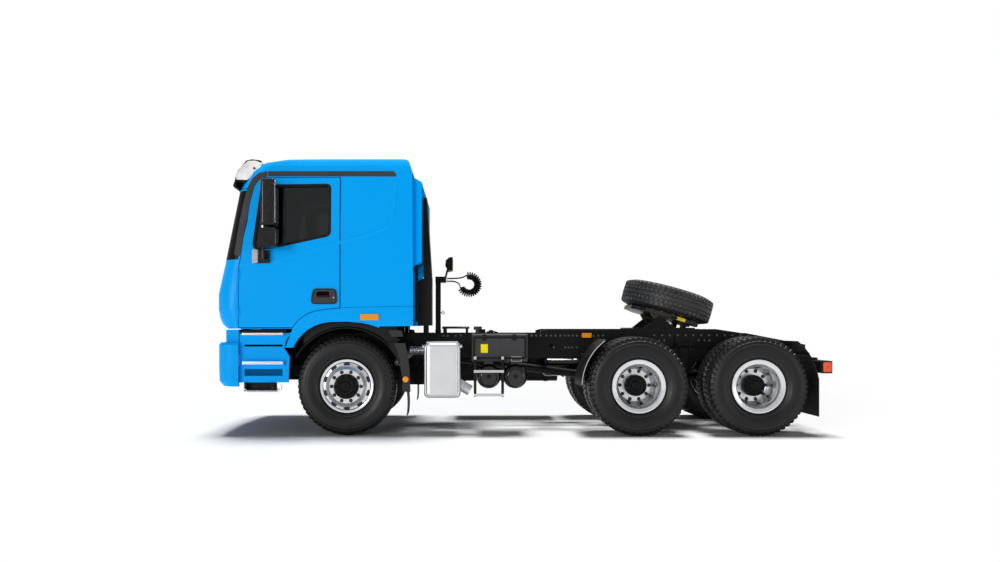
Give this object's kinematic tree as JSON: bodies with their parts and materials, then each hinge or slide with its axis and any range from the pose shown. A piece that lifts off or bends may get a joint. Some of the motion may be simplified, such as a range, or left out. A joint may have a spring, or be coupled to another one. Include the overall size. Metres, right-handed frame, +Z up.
{
  "type": "semi truck tractor unit",
  "caption": "Cab-over truck tractor with tilting sleeper cab, hinged doors, steered front wheels, twin drive wheels and a tilting fifth wheel carrying the spare wheel.",
  "frame": {"origin": "on the ground under the middle of the truck's length and width", "axes": "-X forward, -Y to the truck's left, +Z up"},
  "size_m": [7.002, 3.04, 3.1569],
  "materials": {
    "blue_paint": "gloss",
    "chassis_black": "satin",
    "black_plastic": "textured",
    "grey_plastic": "textured",
    "glass": "tinted",
    "tyre": "matte",
    "rim_silver": "satin",
    "aluminium": "satin",
    "lamp": "clear",
    "amber": "translucent",
    "seat_fabric": "woven",
    "cast": "dull",
    "hose": "satin"
  },
  "bodies": {
    "chassis": {"frame": "chassis_black", "engine": "cast", "propshafts": "chassis_black", "drive_axles": "chassis_black", "front_axle": "chassis_black", "leaf_springs": "chassis_black", "bumper": "blue_paint", "headlamps": "lamp", "step_panels": "blue_paint", "step_treads": "chassis_black", "mudguards": "black_plastic", "silencer": "aluminium", "battery_box": "black_plastic", "air_tanks": "chassis_black", "side_ladder": "aluminium", "deck": "aluminium", "fuel_tank": "aluminium", "air_intake": "black_plastic", "hose_stand": "chassis_black", "air_line_a": "hose", "air_line_b": "hose", "rear_lamps": "amber", "fifth_wheel_base": "chassis_black"},
    "cab": {"cab_floor": "blue_paint", "cab_body": "blue_paint", "front_panel": "blue_paint", "grille": "black_plastic", "windscreen": "glass", "cab_roof": "blue_paint", "cab_back": "blue_paint", "sun_visor": "grey_plastic", "dashboard": "grey_plastic", "seats": "seat_fabric", "marker_lamps": "amber"},
    "coupler": {"fifth_wheel_plate": "cast", "spare_tyre": "tyre", "spare_rim": "rim_silver"},
    "track_rod": {"tie_rod": "chassis_black"},
    "left_door": {"door_left": "blue_paint", "window_left": "glass", "mirror_left": "black_plastic"},
    "left_knuckle": {"knuckle_left": "cast"},
    "left_front_wheel": {"front_tyre_left": "tyre", "front_rim_left": "rim_silver"},
    "left_mid_wheels": {"mid_tyres_left": "tyre", "mid_rims_left": "rim_silver"},
    "left_rear_wheels": {"rear_tyres_left": "tyre", "rear_rims_left": "rim_silver"},
    "right_door": {"door_right": "blue_paint", "window_right": "glass", "mirror_right": "black_plastic"},
    "right_knuckle": {"knuckle_right": "cast"},
    "right_front_wheel": {"front_tyre_right": "tyre", "front_rim_right": "rim_silver"},
    "right_mid_wheels": {"mid_tyres_right": "tyre", "mid_rims_right": "rim_silver"},
    "right_rear_wheels": {"rear_tyres_right": "tyre", "rear_rims_right": "rim_silver"}
  },
  "joints": [
    {"name": "cab_tilt", "type": "hinge", "parent": "chassis", "child": "cab", "pos_m": [-3.305, 0, 1.12], "axis": [0, -1, 0], "range_deg": [0, 50]},
    {"name": "coupler_tilt", "type": "hinge", "parent": "chassis", "child": "coupler", "pos_m": [1.737, 0, 1.316], "axis": [0, -1, 0], "range_deg": [0, 28]},
    {"name": "door_left_swing", "type": "hinge", "parent": "cab", "child": "left_door", "pos_m": [-3.181, -1.255, 1.6], "axis": [0, 0, -1], "range_deg": [0, 75]},
    {"name": "steer_left", "type": "hinge", "parent": "chassis", "child": "left_knuckle", "pos_m": [-1.975, -0.835, 0.5625], "axis": [0, 0, 1], "range_deg": [-35, 35]},
    {"name": "front_wheel_left_spin", "type": "hinge", "parent": "left_knuckle", "child": "left_front_wheel", "pos_m": [-1.975, -1.015, 0.5625], "axis": [0, 1, 0], "continuous": true},
    {"name": "mid_wheels_left_spin", "type": "hinge", "parent": "chassis", "child": "left_mid_wheels", "pos_m": [1.325, -0.93, 0.5625], "axis": [0, 1, 0], "continuous": true},
    {"name": "rear_wheels_left_spin", "type": "hinge", "parent": "chassis", "child": "left_rear_wheels", "pos_m": [2.675, -0.93, 0.5625], "axis": [0, 1, 0], "continuous": true},
    {"name": "door_right_swing", "type": "hinge", "parent": "cab", "child": "right_door", "pos_m": [-3.181, 1.255, 1.6], "axis": [0, 0, 1], "range_deg": [0, 75]},
    {"name": "steer_right", "type": "hinge", "parent": "chassis", "child": "right_knuckle", "pos_m": [-1.975, 0.835, 0.5625], "axis": [0, 0, 1], "range_deg": [-35, 35]},
    {"name": "front_wheel_right_spin", "type": "hinge", "parent": "right_knuckle", "child": "right_front_wheel", "pos_m": [-1.975, 1.015, 0.5625], "axis": [0, 1, 0], "continuous": true},
    {"name": "mid_wheels_right_spin", "type": "hinge", "parent": "chassis", "child": "right_mid_wheels", "pos_m": [1.325, 0.93, 0.5625], "axis": [0, 1, 0], "continuous": true},
    {"name": "rear_wheels_right_spin", "type": "hinge", "parent": "chassis", "child": "right_rear_wheels", "pos_m": [2.675, 0.93, 0.5625], "axis": [0, 1, 0], "continuous": true},
    {"name": "track_rod_swing", "type": "hinge", "parent": "left_knuckle", "child": "track_rod", "pos_m": [-1.785, -0.835, 0.4225], "axis": [0, 0, 1], "range_deg": [-35, 35]}
  ],
  "couplings": [
    {"joint": "steer_right", "follows": "steer_left", "ratio": 1},
    {"joint": "track_rod_swing", "follows": "steer_left", "ratio": -1}
  ]
}
